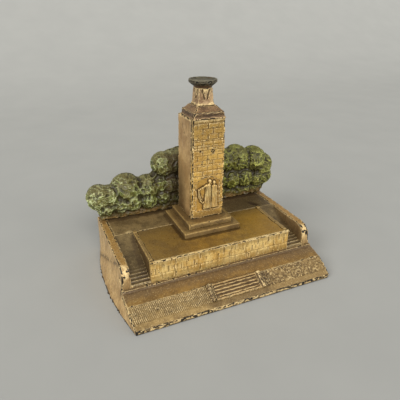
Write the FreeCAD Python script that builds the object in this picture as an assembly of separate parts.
import FreeCAD, Part
import math
import os

# Miniature landmark model: a cast and gilded memorial tower on a stepped base, with painted hedges behind.
# Millimetres. +X is to the right seen from the front, +Y is to the back, +Z is up.
# The origin is at the middle of the whole model's footprint, on the surface that it stands on.

# Base
DEPTH = 95.0                # front lip to back wall
LANDING_Z = 27.0            # terrace deck, landing and parapet tops
TOP_HALF = 65.3             # half width of the base at the landing
FRONT_HALF = 65.2           # half width at the front lip
SKIRT_FLARE = 6.4           # how far each side spreads at the foot, where the base is widest
FLARE_RUN = 0.53            # share of the depth at which the base is widest
FLARE_POWER = 2.2           # how sharply the sides curve out towards the foot
FRONT_BULGE = 0.73          # share of the spread reached halfway to the widest place
REAR_RUN = 0.78             # share of the depth at which the next width is given
REAR_BULGE = 0.76           # share of the spread left there
BACK_BULGE = 0.05           # share of it left at the back wall
WALL = 3.0                  # casting wall
SIDE_INNER = 60.0           # inner faces of the side walls
LIP_Z = 3.3                 # top of the front lip
LEDGE_DEPTH = 24.8          # where the ledge meets the terrace wall
LEDGE_Z = 13.6
STAIR_END = 63.5            # where the stairs reach the landing
SLAB = 2.0                  # landing slab thickness
PARAPET_RADIUS = 8.0        # rounded front end of each parapet
NOSE_FACES = 8              # flats that the rounded end is made of
FRONT_TAPER = 2.4           # depth at which the seat of the apron leaves the front lip

# Apron, the sloping front
APRON_FOOT = (3.0, 5.2)     # depth and height of the lower end of the ribbed slope
APRON_HEAD = (12.7, 10.3)   # and of its upper end
APRON_THICK = 1.6
CURB_FOOT = (22.5, 12.1)    # foot of the small riser on the ledge
CURB_RISE = 1.2
LEDGE_DROP = 0.4            # how far the ledge starts below the head of the apron
APRON_ROWS = 6              # rows of ribbing across the apron
ROW_GROOVE = 0.35

# Tablet on the apron, measured up the slope from its foot
PLAQUE_HALF = 15.2
PLAQUE_RISE = (0.1, 10.5)
PLAQUE_THICK = 0.8
RAIL_WIDTH = 1.0
RIB_COUNT = 4
RIB_RADIUS = 0.55
POST_WIDTH = 3.6
POST_FOOT = 1.0             # thickness of the flat foot under each rolled end post
POST_OVERRUN = 0.6          # how much longer than the panel the posts are
POST_START = 0.1            # how much lower than the panel they start
ROLL_RADIUS = 1.15
KNOB = (1.5, 1.6)           # radius and length of the knob at the head of each post

# Terrace
TERRACE_HALF = 48.1
BLOCK_WALL = 2.5            # thickness of the terrace walls
COPING_DEPTH = (24.2, 26.0)
COPING_Z = (26.1, 27.25)
COPING_OVERRUN = 0.3        # how far the coping reaches past the wall at each end
CURB_LINE = 0.4             # how far the stair-side walls stand above the deck
CURB_END = (2.4, 0.9)       # length and height of the raised block that ends each of them
BLOCK_LENGTH = 8.2
BLOCK_COURSES = 3
JOINT = 0.45                # width and depth of masonry joints
SHORT_BLOCK = 1.2           # shortest block left at the end of a course

# Stairs
STEP_COUNT = 16
STAIR_THICK = 2.6
STEP_LEAN = 0.25            # how far each riser leans back, as a share of the tread

# Plinth and tower
PLINTH = ((19.9, 41.5, 79.0, 27.0, 30.4), (15.4, 45.2, 77.5, 30.4, 34.2))
TOWER_FOOT = (11.5, 51.8, 76.0, 34.2)      # half width, front depth, back depth, height
TOWER_HEAD = (10.8, 50.9, 75.4, 100.1)
TOWER_X = 0.5                              # how far the tower and cornice stand right of the middle
FRONT_PLATE = 2.6
TOWER_WALL = 2.0
BRICK_HEIGHT = 3.8
BRICK_LENGTH = 7.4
TOP_COURSE = 2.2            # height of the plain course under the cornice
NICHE = (-7.6, 8.6, 39.4, 62.6)            # left, right, foot and crown of the relief panel
NICHE_MIDDLE = (NICHE[2] + NICHE[3]) / 2
NICHE_ARCH = 0.225                         # rise of its arch as a share of its width
NICHE_SINK = 0.9
NICHE_PANEL = 0.4
FIGURE_FOOT = NICHE[2] + 1.0
FIGURE_SPLIT = (2.75, 2.95)                # the gap between the two figures
FIGURES = ((0.2, 20.6, 2.9, 1.2), (5.2, 19.4, 2.6, -0.6))      # x, height, half hem and lean of each
FIGURE_RISE = 1.0                          # how far a robe stands out
SHOULDER_SHARE = 0.80                      # shoulder height as a share of the figure's
HEAD_SHARE = 0.065                         # head radius as a share of it
ROBE_SHARES = (0.62, 0.8, 0.45)            # width at waist, chest and neck as shares of the hem
SHOULDER_DROP = 0.8                        # how much lower the chest is than the neck
ARM = ((-7.0, 53.6), (-6.6, 54.8), (0.2, 57.4), (0.4, 56.0))   # outline of the stretched arm, x and height
ARM_RISE = 0.8
DRAPE = ((-6.6, 54.0), (-6.0, 54.2), (-2.6, 45.0), (-1.0, 46.0), (-1.0, 44.6), (-3.2, 43.8))    # its cloth
DRAPE_RISE = 0.6
RING = (1.2, 0.4, 4.6, 48.4)               # radius, thickness, x and height of the ring that is held

# Cap
CAP_CENTRE = 60.1           # depth of the cap's axis
CORNICE_EAVE = ((10.9, 100.1), (10.9, 100.7), (10.1, 101.7), (10.0, 104.5))      # half width and height
CORNICE_SLOPE = ((9.2, 104.5), (7.6, 106.2), (6.4, 107.6))                     # and of the sloping top
CORNICE_CENTRE = (TOWER_X, 60.9)    # x and depth of the middle of the cornice
PEDESTAL = ((5.6, 107.6), (5.0, 110.2), (4.5, 117.6))                          # and of the pedestal
PEDESTAL_TOP_Z = PEDESTAL[-1][1]
FLUTE_Z = (111.2, 116.6)    # foot and head of the flutes on the pedestal
FLUTE_X = (0.9, 2.3)        # how far from the middle each flute is at its foot and at its head
FLUTE_WIDTH = (0.9, 1.0)
FLUTE_DEPTH = 4.2           # distance of a flute's floor from the cap's axis
DISH_STEM = 5.4             # radius of the dish where it sits on the pedestal
DISH_RADIUS = 8.7
DISH_Z = 122.6
DISH_RIM = 1.9
DISH_SINK = 0.8
DISH_COLLAR = (0.3, 0.7)    # how much the dish spreads just above the pedestal, and over what height
DISH_BEVEL = 0.4            # bevel round the outside of the rim
DISH_FLAT = 1.2             # how far in the flat rim reaches
DISH_WELL = 2.4             # how far in the sunk floor starts

# Hedges
HEDGE_BACK = 95.0
HEDGE_CORE = 85.0           # front of the core behind the clumps
HEDGE_SPLIT = 4.0           # where the two hedges meet behind the tower
HEDGE_NOSE = 79.6           # how far forward the clumps bulge

# Outline of each hedge's core as (x, height), from its outer end to the split
LEFT_CORE = ((-64.6, 27), (-65.6, 36), (-63.0, 47), (-53.5, 50), (-43.5, 54), (-28.5, 52), (-19.5, 60),
             (-13.5, 68), (-3.0, 70), (4.0, 69), (4.0, 27))
RIGHT_CORE = ((63.5, 27), (66.8, 34), (69.4, 40), (69.0, 50), (62.8, 58), (53.0, 61), (42.0, 66), (24.0, 64),
              (9.0, 67), (4.0, 69), (4.0, 27))

# Rounded clumps of the hedges as (x, height, radius, set-back); those behind the tower belong to both
LEFT_LOBES = ((-63.0, 43.7, 9.9, 0.0), (-56.5, 43.2, 9.2, 0.6), (-43.9, 46.3, 11.8, 0.0),
              (-36.0, 44.5, 9.5, 2.2), (-29.0, 45.2, 10.2, 0.6), (-20.5, 47.0, 9.5, 2.6),
              (-16.6, 61.2, 9.7, 0.8), (-9.0, 61.3, 10.0, 2.4), (-12.5, 46.0, 9.0, 2.0),
              (-59.5, 37.0, 8.0, 1.2), (-50.0, 38.0, 9.0, 0.8), (-41.0, 38.0, 9.0, 0.4),
              (-29.5, 37.5, 8.6, 0.8), (-19.0, 38.0, 8.8, 2.2))
MIDDLE_LOBES = ((-3.0, 60.8, 11.5, 1.5), (7.0, 60.2, 11.0, 2.5), (-5.0, 45.0, 9.5, 2.0),
                (5.0, 45.0, 9.0, 3.0))
RIGHT_LOBES = ((42.0, 57.6, 11.2, 0.0), (32.0, 56.4, 10.2, 1.6), (21.5, 57.5, 10.5, 1.0),
               (12.0, 58.5, 10.0, 2.4), (57.2, 54.8, 11.2, 0.0), (49.6, 54.6, 9.5, 2.6),
               (64.0, 49.6, 10.9, 0.6), (37.0, 42.5, 9.4, 0.4), (48.5, 42.0, 9.6, 0.8),
               (27.0, 43.5, 9.5, 1.6), (16.5, 44.0, 9.5, 2.4), (59.0, 40.8, 9.0, 0.8),
               (65.8, 41.4, 8.6, 1.2))

# Underside and fixings
PLATE_Z = (1.0, 2.2)
SIDE_WALL = 4.5             # side wall thickness at the foot
HOLLOW_FRONT = 6.0          # depth at which the hollow begins
ROOF_START_Z = 2.4          # height of the hollow there
PLATE_GAP = 0.2
PLATE_HOLE = 5.6            # radius of the hole in the plate over the tie nut
FELT_GAP = 0.4
WASHER_RADIUS = 5.0
WASHER_THICK = 1.2
WASHER_PAD = 1.5            # how far the casting's pad reaches past the washer
NUT_RADIUS = 4.0            # across the nut's corners
NUT_HEIGHT = 3.4
TIE_RADIUS = 2.0
TIE_HOLE = 2.15
TIE_BITE = 2.0              # how far the rod goes up into the dish
TIE_SLACK = (0.1, 0.2)      # slack round the rod in the washer, and over its tip in the dish
TIE_TAIL = 6.5              # how far the rod hangs below the casting that the washer bears on
SCREW_RADIUS = 1.25
SCREW_BITE = 3.6            # how far each screw goes into its boss
SCREW_CLEAR = (0.15, 0.4)   # slack round each screw in the plate, and under its tip
HEAD_RADIUS = 2.3
HEAD_UNDER = 0.2            # how far the screw heads stay above the resting surface
SLOT = (0.5, 0.3)           # width and depth of the slot in each screw head
FELT_HOLE = 2.6
BOSS_RADIUS = 3.2
BOSSES = ((-50.0, 16.0), (50.0, 16.0), (-50.0, 84.0), (50.0, 84.0))

FRONT = -DEPTH / 2
SPAN = 90.0                 # half width of the blocks that the base is cut from
CLEAR = 3.0                 # how far a cutting block reaches past what it cuts
V = FreeCAD.Vector


def box(x0, x1, d0, d1, z0, z1):
    """A box between two x values, two depths from the front lip and two heights."""
    return Part.makeBox(x1 - x0, d1 - d0, z1 - z0, V(x0, FRONT + d0, z0))


def side_prism(outline, x0, x1):
    """A closed outline of (depth, height) points, extruded across from x0 to x1."""
    points = [V(x0, FRONT + d, z) for d, z in outline]
    return Part.Face(Part.makePolygon(points + points[:1])).extrude(V(x1 - x0, 0, 0))


def front_prism(outline, d0, d1):
    """A closed outline of (x, height) points, extruded back from depth d0 to d1."""
    points = [V(x, FRONT + d0, z) for x, z in outline]
    return Part.Face(Part.makePolygon(points + points[:1])).extrude(V(0, d1 - d0, 0))


def upright(radius, x, depth, z0, z1):
    """A vertical cylinder."""
    return Part.makeCylinder(radius, z1 - z0, V(x, FRONT + depth, z0))


def tie_bored(shape):
    """A shape with the clearance hole for the tie rod through it."""
    return shape.cut(upright(TIE_HOLE, 0.0, CAP_CENTRE, 0.0, PEDESTAL_TOP_Z))


def fused(shapes):
    """One solid from several that touch or cross."""
    return shapes[0].multiFuse(shapes[1:]).removeSplitter()


def mirrored(shape):
    """The same shape on the other side of the middle plane."""
    return shape.mirror(V(0, 0, 0), V(1, 0, 0))


def section(inset, flare, d0, d1, z):
    """A level outline of the base: straight front and back, and sides that swell out between them."""
    front = FRONT_HALF - inset
    back = TOP_HALF - inset
    stations = ((0.0, front), (FLARE_RUN / 2, front + FRONT_BULGE * flare), (FLARE_RUN, back + flare),
                (REAR_RUN, back + REAR_BULGE * flare), (1.0, back + BACK_BULGE * flare))
    right = [V(x, FRONT + d0 + (d1 - d0) * share, z) for share, x in stations]
    left = [V(-point.x, point.y, z) for point in reversed(right)]
    sides = []
    for points in (right, left):
        curve = Part.BSplineCurve()
        curve.interpolate(points)
        sides.append(curve.toShape())
    back_edge = Part.makeLine(right[-1], left[0])
    front_edge = Part.makeLine(left[-1], right[0])
    return Part.Wire([front_edge, sides[0], back_edge, sides[1]])


def flared_block(inset, d0, d1, z0, z1):
    """The outside of the base, or a smaller copy of it for the hollow inside."""
    sections = []
    for level in range(4):
        z = z0 + (z1 - z0) * level / 3
        flare = SKIRT_FLARE * max((1 - z / LANDING_Z) ** FLARE_POWER, 0.01)
        sections.append(section(inset, flare, d0, d1, z))
    return Part.makeLoft(sections, True, False)


def bed_height(depth):
    """Height of the sloping bed under the stairs and terrace at a depth."""
    slope = (LANDING_Z - LEDGE_Z) / (STAIR_END - LEDGE_DEPTH)
    return LEDGE_Z - STAIR_THICK + slope * (depth - LEDGE_DEPTH)


def hollow_roof(depth):
    """Lowest height of the casting over the hollow within a washer's reach of a depth."""
    return bed_height(depth - WASHER_RADIUS) - WALL


def inside_block(gap):
    """The plan of the hollow under the base, smaller by a gap, at its full height."""
    return flared_block(SIDE_WALL + gap, HOLLOW_FRONT + gap, DEPTH - WALL - gap, 0.0, LANDING_Z)


# The seat of the apron and ledge slabs, from the lip to the terrace wall
SEAT = [(FRONT_TAPER, LIP_Z), (APRON_HEAD[0], APRON_HEAD[1] - APRON_THICK)]
SEAT.append((LEDGE_DEPTH, bed_height(LEDGE_DEPTH)))

# The roof line of the hollow, which follows the seat and the bed a wall's thickness below them
ROOF = [(HOLLOW_FRONT, ROOF_START_Z), (APRON_HEAD[0], SEAT[1][1] - WALL)]
ROOF += [(LEDGE_DEPTH, bed_height(LEDGE_DEPTH) - WALL), (STAIR_END, bed_height(STAIR_END) - WALL)]
ROOF += [(STAIR_END + 2.0, LANDING_Z - SLAB - WALL)]
ROOF += [(DEPTH - WALL, LANDING_Z - SLAB - WALL)]

OUTSIDE = flared_block(0.0, 0.0, DEPTH, 0.0, LANDING_Z)
UNDER_ROOF = side_prism([(HOLLOW_FRONT, 0.0)] + ROOF + [(DEPTH - WALL, 0.0)], -SPAN, SPAN)
HOLLOW = inside_block(0.0).common(UNDER_ROOF)


def base_frame():
    """The middle casting: front slope, sloping bed, landing seat and back wall, hollow underneath."""
    outline = [(0.0, 0.0), (0.0, LIP_Z)] + SEAT
    outline += [(STAIR_END, bed_height(STAIR_END)), (STAIR_END, LANDING_Z - SLAB)]
    outline += [(DEPTH, LANDING_Z - SLAB), (DEPTH, 0.0)]
    body = side_prism(outline, -SIDE_INNER, SIDE_INNER).cut(UNDER_ROOF)
    pads = [upright(BOSS_RADIUS, x, depth, PLATE_Z[1], LANDING_Z) for x, depth in BOSSES]
    pads.append(upright(WASHER_RADIUS + WASHER_PAD, 0.0, CAP_CENTRE, hollow_roof(CAP_CENTRE), LANDING_Z))
    body = fused([body] + [pad.common(UNDER_ROOF) for pad in pads])
    for x, depth in BOSSES:
        body = body.cut(upright(SCREW_RADIUS, x, depth, PLATE_Z[1], PLATE_Z[1] + SCREW_BITE + SCREW_CLEAR[1]))
    return tie_bored(body)


def side_wall():
    """The right side casting: a flared skirt with a round-nosed parapet along its top."""
    nose_back = LEDGE_DEPTH + PARAPET_RADIUS
    outline = [(0.0, 0.0), (0.0, LIP_Z)] + SEAT
    outline += [(LEDGE_DEPTH, LANDING_Z - PARAPET_RADIUS)]
    for step in range(1, NOSE_FACES):
        turn = math.radians(90.0 * step / NOSE_FACES)
        outline.append((nose_back - PARAPET_RADIUS * math.cos(turn),
                        LANDING_Z - PARAPET_RADIUS + PARAPET_RADIUS * math.sin(turn)))
    outline += [(nose_back, LANDING_Z), (DEPTH, LANDING_Z), (DEPTH, 0.0)]
    return side_prism(outline, SIDE_INNER, SPAN).common(OUTSIDE).cut(HOLLOW)


def apron_panel():
    """The ribbed slab on the front slope, scored in level rows."""
    outline = [(0.0, LIP_Z), APRON_FOOT, APRON_HEAD, SEAT[1], SEAT[0]]
    slab = side_prism(outline, -SPAN, SPAN).common(OUTSIDE)
    for row in range(1, APRON_ROWS):
        share = row / APRON_ROWS
        depth = APRON_FOOT[0] + share * (APRON_HEAD[0] - APRON_FOOT[0])
        z = APRON_FOOT[1] + share * (APRON_HEAD[1] - APRON_FOOT[1])
        corner = V(-SPAN, FRONT + depth, z - ROW_GROOVE / 2)
        slab = slab.cut(Part.makeBox(2 * SPAN, ROW_GROOVE, ROW_GROOVE, corner))
    return slab


def ledge_course():
    """The smooth course above the apron, with the small riser in front of the terrace."""
    outline = [(APRON_HEAD[0], APRON_HEAD[1] - LEDGE_DROP), CURB_FOOT]
    outline += [(CURB_FOOT[0] + 0.1, CURB_FOOT[1] + CURB_RISE), (LEDGE_DEPTH, LEDGE_Z), SEAT[2], SEAT[1]]
    return side_prism(outline, -SPAN, SPAN).common(OUTSIDE)


def joint_places(length, row, half):
    """The x of each upright joint of a running-bond course between -half and half."""
    shift = length / 2 if row % 2 else 0.0
    count = math.ceil(half / length)
    places = [number * length + shift for number in range(-count - 1, count + 1)]
    return [x for x in places if abs(x) < half - SHORT_BLOCK]


def terrace_wall():
    """The block wall across the front of the terrace, with running-bond joints."""
    back = LEDGE_DEPTH + BLOCK_WALL
    outline = [(LEDGE_DEPTH, bed_height(LEDGE_DEPTH)), (LEDGE_DEPTH, COPING_Z[0]), (back, COPING_Z[0])]
    outline += [(back, bed_height(back))]
    wall = side_prism(outline, -TERRACE_HALF, TERRACE_HALF)
    course = (COPING_Z[0] - LEDGE_Z) / BLOCK_COURSES
    face = (LEDGE_DEPTH - CLEAR, LEDGE_DEPTH + JOINT)
    cuts = []
    for row in range(BLOCK_COURSES):
        z0 = LEDGE_Z + row * course
        if row > 0:
            cuts.append(box(-TERRACE_HALF, TERRACE_HALF, *face, z0 - JOINT / 2, z0 + JOINT / 2))
        for x in joint_places(BLOCK_LENGTH, row, TERRACE_HALF):
            cuts.append(box(x - JOINT / 2, x + JOINT / 2, *face, z0, z0 + course))
    return wall.cut(fused(cuts))


def terrace_coping():
    """The thin strip that caps the terrace wall."""
    half = TERRACE_HALF + COPING_OVERRUN
    return box(-half, half, *COPING_DEPTH, *COPING_Z)


def terrace_side():
    """The right stair-side wall of the terrace, standing slightly above the deck."""
    front = LEDGE_DEPTH + BLOCK_WALL
    end = STAIR_END - CURB_END[0]
    outline = [(front, bed_height(front)), (front, LANDING_Z + CURB_LINE), (end, LANDING_Z + CURB_LINE)]
    outline += [(end, LANDING_Z + CURB_END[1]), (STAIR_END, LANDING_Z + CURB_END[1])]
    outline += [(STAIR_END, bed_height(STAIR_END))]
    return side_prism(outline, TERRACE_HALF - BLOCK_WALL, TERRACE_HALF)


def terrace_deck():
    """The top slab of the terrace, resting on the walls around it."""
    front = LEDGE_DEPTH + BLOCK_WALL
    inner = TERRACE_HALF - BLOCK_WALL
    slab = box(-inner, inner, front, STAIR_END, LANDING_Z - SLAB, LANDING_Z)
    lip = box(-TERRACE_HALF, TERRACE_HALF, COPING_DEPTH[1], front, COPING_Z[0], LANDING_Z)
    return tie_bored(slab.fuse(lip).removeSplitter())


def stair():
    """The right flight of steps, from the ledge to the landing."""
    tread = (STAIR_END - LEDGE_DEPTH) / STEP_COUNT
    rise = (LANDING_Z - LEDGE_Z) / STEP_COUNT
    outline = [(LEDGE_DEPTH, bed_height(LEDGE_DEPTH)), (LEDGE_DEPTH, LEDGE_Z)]
    for step in range(STEP_COUNT):
        depth = LEDGE_DEPTH + step * tread
        z = LEDGE_Z + (step + 1) * rise
        outline += [(depth + STEP_LEAN * tread, z), (depth + tread, z)]
    outline += [(STAIR_END, bed_height(STAIR_END))]
    return side_prism(outline, TERRACE_HALF, SIDE_INNER)


def rear_landing():
    """The level slab behind the terrace, which carries the hedges."""
    return box(-SIDE_INNER, SIDE_INNER, STAIR_END, DEPTH, LANDING_Z - SLAB, LANDING_Z)


def plinth_step(half, d0, d1, z0, z1):
    """One step of the plinth under the tower, with the tie rod's hole through it."""
    return tie_bored(box(-half, half, d0, d1, z0, z1))


def tower_rectangle(end, inset, front_inset=None):
    """A level rectangle of the tower's outline at its foot or head, smaller by an inset."""
    half, front, back, z = end
    front_inset = inset if front_inset is None else front_inset
    corners = [(-half + inset, front + front_inset), (half - inset, front + front_inset)]
    corners += [(half - inset, back - inset), (-half + inset, back - inset)]
    points = [V(TOWER_X + x, FRONT + depth, z) for x, depth in corners]
    return Part.makePolygon(points + points[:1])


def tower_solid(inset=0.0, front_inset=None):
    """The tapering block of the tower, or its hollow."""
    ends = [tower_rectangle(TOWER_FOOT, inset, front_inset), tower_rectangle(TOWER_HEAD, inset, front_inset)]
    return Part.makeLoft(ends, True, True)


def front_depth(z):
    """Depth of the tower's front face at a height."""
    share = (z - TOWER_FOOT[3]) / (TOWER_HEAD[3] - TOWER_FOOT[3])
    return TOWER_FOOT[1] + share * (TOWER_HEAD[1] - TOWER_FOOT[1])


def tower_body():
    """The three plain walls of the tower and its top, open at the front."""
    shell = tower_solid(0.0, FRONT_PLATE).cut(tower_solid(TOWER_WALL, 0.0))
    lid_z = TOWER_HEAD[3] - TOWER_WALL
    top = box(-TOP_HALF, TOP_HALF, 0, DEPTH, lid_z, TOWER_HEAD[3])
    lid = tower_solid(TOWER_WALL, FRONT_PLATE).common(top)
    return tie_bored(shell.fuse(lid).removeSplitter())


def niche_outline():
    """The arched outline of the relief panel."""
    left, right, foot, crown = NICHE
    spring = crown - (right - left) * NICHE_ARCH
    corners = [V(left, 0, spring), V(left, 0, foot), V(right, 0, foot), V(right, 0, spring)]
    arch = Part.Arc(corners[3], V((left + right) / 2, 0, crown), corners[0]).toShape()
    edges = [Part.makeLine(a, b) for a, b in zip(corners, corners[1:])]
    return Part.Face(Part.Wire(edges + [arch]))


def niche_block(sink0, sink1):
    """The arched outline as a block from one sink to another behind the tower's front face."""
    block = niche_outline()
    block.translate(V(0, FRONT + front_depth(NICHE_MIDDLE) + sink0, 0))
    return block.extrude(V(0, sink1 - sink0, 0))


def tower_front():
    """The brick-faced front plate, with an arched recess for the relief."""
    plate = tower_solid(0.0, 0.0).cut(tower_solid(-CLEAR, FRONT_PLATE))
    cuts = [niche_block(-FRONT_PLATE, NICHE_SINK)]
    half = TOWER_FOOT[0] + TOWER_X
    courses = int((TOWER_HEAD[3] - TOP_COURSE - TOWER_FOOT[3]) / BRICK_HEIGHT)
    for row in range(courses):
        z1 = TOWER_HEAD[3] - TOP_COURSE - row * BRICK_HEIGHT
        depth = front_depth(z1) + JOINT
        cuts.append(box(-half, half, depth - CLEAR, depth, z1 - JOINT / 2, z1 + JOINT / 2))
        for x in joint_places(BRICK_LENGTH, row, TOWER_HEAD[0]):
            cuts.append(box(x - JOINT / 2, x + JOINT / 2, depth - CLEAR, depth, z1 - BRICK_HEIGHT, z1))
    return plate.cut(fused(cuts))


def relief_back():
    """Depth of the relief panel's face, which the figures stand against."""
    return front_depth(NICHE_MIDDLE) + NICHE_SINK - NICHE_PANEL


def relief_panel():
    """The thin arched back of the relief, with the ledge that the figures stand on."""
    panel = niche_block(NICHE_SINK - NICHE_PANEL, NICHE_SINK)
    ledge = box(NICHE[0] + 1.5, NICHE[1] - 0.5, relief_back() - FIGURE_RISE, relief_back() + 0.1, NICHE[2],
                FIGURE_FOOT)
    return panel.fuse(ledge).removeSplitter()


def robed_figure(x, height, half, lean):
    """A small standing figure in half relief: a long robe, shoulders and a round head."""
    back = relief_back()
    head_radius = height * HEAD_SHARE
    head_z = FIGURE_FOOT + height - head_radius
    shoulder_z = FIGURE_FOOT + height * SHOULDER_SHARE
    levels = (FIGURE_FOOT, FIGURE_FOOT + height / 2, shoulder_z - SHOULDER_DROP, shoulder_z)
    widths = (half, *(share * half for share in ROBE_SHARES))
    middles = (x, x + lean / 2, x + lean, x + lean)
    right = [(middle + width, z) for middle, width, z in zip(middles, widths, levels)]
    left = [(middle - width, z) for middle, width, z in zip(middles, widths, levels)]
    robe = front_prism(right + left[::-1], back - FIGURE_RISE, back)
    throat = head_radius * 0.3
    neck = box(x + lean - throat, x + lean + throat, back - ARM_RISE, back, shoulder_z - throat, head_z)
    head = Part.makeSphere(head_radius, V(x + lean, FRONT + back - throat, head_z))
    return [robe, neck, head.common(box(-TOP_HALF, TOP_HALF, 0, back, 0, DISH_Z))]


def relief_figures():
    """Two robed figures side by side, one with an arm stretched out and one holding a ring."""
    back = relief_back()
    arm = front_prism(ARM, back - ARM_RISE, back)
    drape = front_prism(DRAPE, back - DRAPE_RISE, back)
    radius, thick, ring_x, ring_z = RING
    ring = Part.makeTorus(radius, thick, V(ring_x, FRONT + back - FIGURE_RISE, ring_z), V(0, 1, 0))
    ring = ring.common(box(-TOP_HALF, TOP_HALF, 0, back, 0, DISH_Z))
    left_side = box(-TOP_HALF, FIGURE_SPLIT[0], 0, DEPTH, 0, DISH_Z)
    right_side = box(FIGURE_SPLIT[1], TOP_HALF, 0, DEPTH, 0, DISH_Z)
    left_figure = fused(robed_figure(*FIGURES[0]) + [arm, drape]).common(left_side)
    right_figure = fused(robed_figure(*FIGURES[1]) + [ring]).common(right_side)
    return left_figure, right_figure


def cap_square(half, z, centre):
    """A level square about a centre given as x and depth."""
    corners = ((-half, -half), (half, -half), (half, half), (-half, half))
    points = [V(centre[0] + x, FRONT + centre[1] + y, z) for x, y in corners]
    return Part.makePolygon(points + points[:1])


def cap_loft(levels, centre):
    """A square solid about a centre from (half width, height) pairs, with flat faces."""
    return Part.makeLoft([cap_square(half, z, centre) for half, z in levels], True, True)


def cornice():
    """The square slab on the tower's head, with an eave at its foot and a sloping top."""
    return tie_bored(fused([cap_loft(levels, CORNICE_CENTRE) for levels in (CORNICE_EAVE, CORNICE_SLOPE)]))


def pedestal():
    """The square pedestal under the dish, with two sunk flutes on each face that lean apart."""
    block = cap_loft(PEDESTAL, (0.0, CAP_CENTRE))
    low, high = FLUTE_Z
    for turn in range(4):
        for side in (-1, 1):
            x_foot, x_head = side * FLUTE_X[0], side * FLUTE_X[1]
            outline = [(x_foot - FLUTE_WIDTH[0] / 2, low), (x_foot + FLUTE_WIDTH[0] / 2, low)]
            outline += [(x_head + FLUTE_WIDTH[1] / 2, high), (x_head - FLUTE_WIDTH[1] / 2, high)]
            flute = front_prism(outline, CAP_CENTRE - DISH_RADIUS, CAP_CENTRE - FLUTE_DEPTH)
            flute.rotate(V(0, FRONT + CAP_CENTRE, 0), V(0, 0, 1), 90.0 * turn)
            block = block.cut(flute)
    return tie_bored(block)


def dish():
    """The shallow flaring dish on top, turned about the cap's axis, with a blind hole for the tie rod."""
    spread, lift = DISH_COLLAR
    profile = [(0.0, PEDESTAL_TOP_Z), (DISH_STEM, PEDESTAL_TOP_Z)]
    profile += [(DISH_STEM + spread, PEDESTAL_TOP_Z + lift), (DISH_RADIUS, DISH_Z - DISH_RIM)]
    profile.append((DISH_RADIUS, DISH_Z - DISH_BEVEL))
    profile += [(DISH_RADIUS - DISH_BEVEL, DISH_Z), (DISH_RADIUS - DISH_FLAT, DISH_Z)]
    profile += [(DISH_RADIUS - DISH_WELL, DISH_Z - DISH_SINK), (0.0, DISH_Z - DISH_SINK)]
    points = [V(r, FRONT + CAP_CENTRE, z) for r, z in profile]
    face = Part.Face(Part.makePolygon(points + points[:1]))
    solid = face.revolve(V(0, FRONT + CAP_CENTRE, 0), V(0, 0, 1), 360)
    hole_top = PEDESTAL_TOP_Z + TIE_BITE + TIE_SLACK[1]
    return solid.cut(upright(TIE_RADIUS, 0.0, CAP_CENTRE, PEDESTAL_TOP_Z, hole_top))


def hedge(lobes, core):
    """One hedge: rounded clumps that bulge forward of a core, cut flat at the back and on the landing."""
    clumps = [front_prism(core, HEDGE_CORE, HEDGE_BACK)]
    for x, z, radius, setback in lobes:
        clumps.append(Part.makeSphere(radius, V(x, FRONT + HEDGE_NOSE + setback + radius, z)))
    return fused(clumps)


def hedges():
    """The left and right hedges, which meet behind the tower."""
    left = hedge(LEFT_LOBES + MIDDLE_LOBES, LEFT_CORE)
    right = hedge(RIGHT_LOBES + MIDDLE_LOBES, RIGHT_CORE)
    left_room = box(-SPAN, HEDGE_SPLIT, 0, HEDGE_BACK, LANDING_Z, DISH_Z)
    right_room = box(HEDGE_SPLIT, SPAN, 0, HEDGE_BACK, LANDING_Z, DISH_Z)
    return left.common(left_room), right.common(right_room)


def on_apron(shape):
    """Moves a shape made flat, with its foot at y = 0, onto the sloping apron."""
    slope = math.degrees(math.atan2(APRON_HEAD[1] - APRON_FOOT[1], APRON_HEAD[0] - APRON_FOOT[0]))
    shape.rotate(V(0, 0, 0), V(1, 0, 0), slope)
    shape.translate(V(0, FRONT + APRON_FOOT[0], APRON_FOOT[1]))
    return shape


def above(shape, level):
    """The part of a shape on the apron that stands above a level."""
    corner = V(-TOP_HALF, -LEDGE_DEPTH, level)
    return shape.common(Part.makeBox(2 * TOP_HALF, 2 * LEDGE_DEPTH, LEDGE_DEPTH, corner))


def plaque_post(x):
    """A rolled end post with a knob at its head, on a flat foot."""
    low, length = PLAQUE_RISE[0] - POST_START, PLAQUE_RISE[1] - PLAQUE_RISE[0] + POST_OVERRUN
    foot = Part.makeBox(POST_WIDTH, length, POST_FOOT, V(x - POST_WIDTH / 2, low, 0))
    roll = Part.makeCylinder(ROLL_RADIUS, length, V(x, low, POST_FOOT), V(0, 1, 0))
    knob = Part.makeCylinder(KNOB[0], KNOB[1], V(x, low + length - KNOB[1], POST_FOOT), V(0, 1, 0))
    return on_apron(fused([foot, above(roll, POST_FOOT), above(knob, POST_FOOT)]))


def plaque():
    """The tablet on the apron: a panel, two rails, plain ribs and two end posts."""
    low, high = PLAQUE_RISE
    panel = Part.makeBox(2 * PLAQUE_HALF, high - low, PLAQUE_THICK, V(-PLAQUE_HALF, low, 0))
    rails = []
    for y in (low, high - RAIL_WIDTH):
        corner = V(-PLAQUE_HALF, y, PLAQUE_THICK)
        rails.append(Part.makeBox(2 * PLAQUE_HALF, RAIL_WIDTH, PLAQUE_THICK, corner))
    ribs = []
    pitch = (high - low - 2 * RAIL_WIDTH) / RIB_COUNT
    for number in range(RIB_COUNT):
        y = low + RAIL_WIDTH + pitch * (number + 0.5)
        start = V(-PLAQUE_HALF + PLAQUE_THICK, y, PLAQUE_THICK)
        bar = Part.makeCylinder(RIB_RADIUS, 2 * (PLAQUE_HALF - PLAQUE_THICK), start, V(1, 0, 0))
        ribs.append(above(bar, PLAQUE_THICK))
    posts = [plaque_post(sign * (PLAQUE_HALF + POST_WIDTH / 2)) for sign in (-1, 1)]
    return on_apron(panel), on_apron(Part.makeCompound(rails)), on_apron(Part.makeCompound(ribs)), posts


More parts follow.
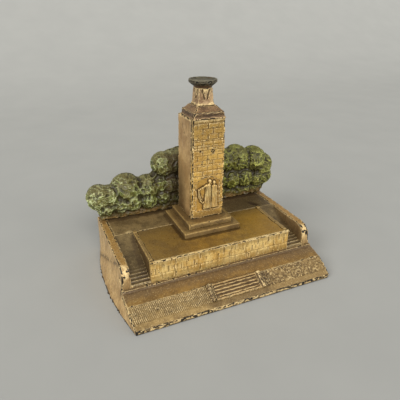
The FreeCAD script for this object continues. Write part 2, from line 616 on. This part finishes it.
def closing_plate():
    """The thin sheet plate that closes the hollow underside, held by four screws."""
    low, high = PLATE_Z
    plate = inside_block(PLATE_GAP).common(box(-DEPTH, DEPTH, 0, DEPTH, low, high))
    for x, depth in BOSSES:
        plate = plate.cut(upright(SCREW_RADIUS + SCREW_CLEAR[0], x, depth, low, high))
    return plate.cut(upright(PLATE_HOLE, 0.0, CAP_CENTRE, low, high))


def felt_pad():
    """The felt under the plate, level with the rim of the casting, with clearance over the screw heads."""
    pad = inside_block(FELT_GAP).common(box(-DEPTH, DEPTH, 0, DEPTH, 0, PLATE_Z[0]))
    for x, depth in BOSSES:
        pad = pad.cut(upright(FELT_HOLE, x, depth, 0, PLATE_Z[0]))
    return pad


def plate_screws():
    """Four small cheese-head screws through the plate into the bosses."""
    screws = []
    width, depth_cut = SLOT
    for x, depth in BOSSES:
        head = upright(HEAD_RADIUS, x, depth, HEAD_UNDER, PLATE_Z[0])
        slot = box(x - HEAD_RADIUS, x + HEAD_RADIUS, depth - width / 2, depth + width / 2, HEAD_UNDER,
                   HEAD_UNDER + depth_cut)
        shank = upright(SCREW_RADIUS, x, depth, PLATE_Z[0], PLATE_Z[1] + SCREW_BITE)
        screws.append(head.fuse(shank).removeSplitter().cut(slot))
    return Part.makeCompound(screws)


def tie_parts():
    """The rod that draws the dish, cap and tower down onto the base, with its washer and nut."""
    seat_z = hollow_roof(CAP_CENTRE)
    washer_z = seat_z - WASHER_THICK
    rod = upright(TIE_RADIUS, 0.0, CAP_CENTRE, seat_z - TIE_TAIL, PEDESTAL_TOP_Z + TIE_BITE)
    washer = upright(WASHER_RADIUS, 0.0, CAP_CENTRE, washer_z, seat_z)
    washer = washer.cut(upright(TIE_RADIUS + TIE_SLACK[0], 0.0, CAP_CENTRE, washer_z, seat_z))
    corners = []
    for number in range(6):
        turn = math.radians(60 * number)
        corners.append(V(NUT_RADIUS * math.cos(turn), FRONT + CAP_CENTRE + NUT_RADIUS * math.sin(turn),
                         washer_z - NUT_HEIGHT))
    nut = Part.Face(Part.makePolygon(corners + corners[:1])).extrude(V(0, 0, NUT_HEIGHT))
    return rod, washer, nut.cut(upright(TIE_RADIUS, 0.0, CAP_CENTRE, washer_z - NUT_HEIGHT, washer_z))


def build():
    """Every node of the model by name."""
    panel, rails, ribs, posts = plaque()
    figure_left, figure_right = relief_figures()
    left_hedge, right_hedge = hedges()
    rod, washer, nut = tie_parts()
    return {
        "base_frame": base_frame(),
        "left_side_wall": mirrored(side_wall()),
        "right_side_wall": side_wall(),
        "apron_panel": apron_panel(),
        "ledge_course": ledge_course(),
        "terrace_wall": terrace_wall(),
        "terrace_coping": terrace_coping(),
        "terrace_left_side": mirrored(terrace_side()),
        "terrace_right_side": terrace_side(),
        "terrace_deck": terrace_deck(),
        "left_stair": mirrored(stair()),
        "right_stair": stair(),
        "rear_landing": rear_landing(),
        "plinth_lower_step": plinth_step(*PLINTH[0]),
        "plinth_upper_step": plinth_step(*PLINTH[1]),
        "tower_body": tower_body(),
        "tower_front": tower_front(),
        "relief_panel": relief_panel(),
        "relief_left_figure": figure_left,
        "relief_right_figure": figure_right,
        "cornice": cornice(),
        "pedestal": pedestal(),
        "dish": dish(),
        "left_hedge": left_hedge,
        "right_hedge": right_hedge,
        "plaque_panel": panel,
        "plaque_rails": rails,
        "plaque_ribs": ribs,
        "plaque_left_post": posts[0],
        "plaque_right_post": posts[1],
        "closing_plate": closing_plate(),
        "plate_screws": plate_screws(),
        "felt_pad": felt_pad(),
        "tie_rod": rod,
        "tie_washer": washer,
        "tie_nut": nut,
    }


def main():
    os.makedirs("parts", exist_ok=True)
    for name, shape in build().items():
        shape.exportStep(os.path.join("parts", name + ".step"))


main()
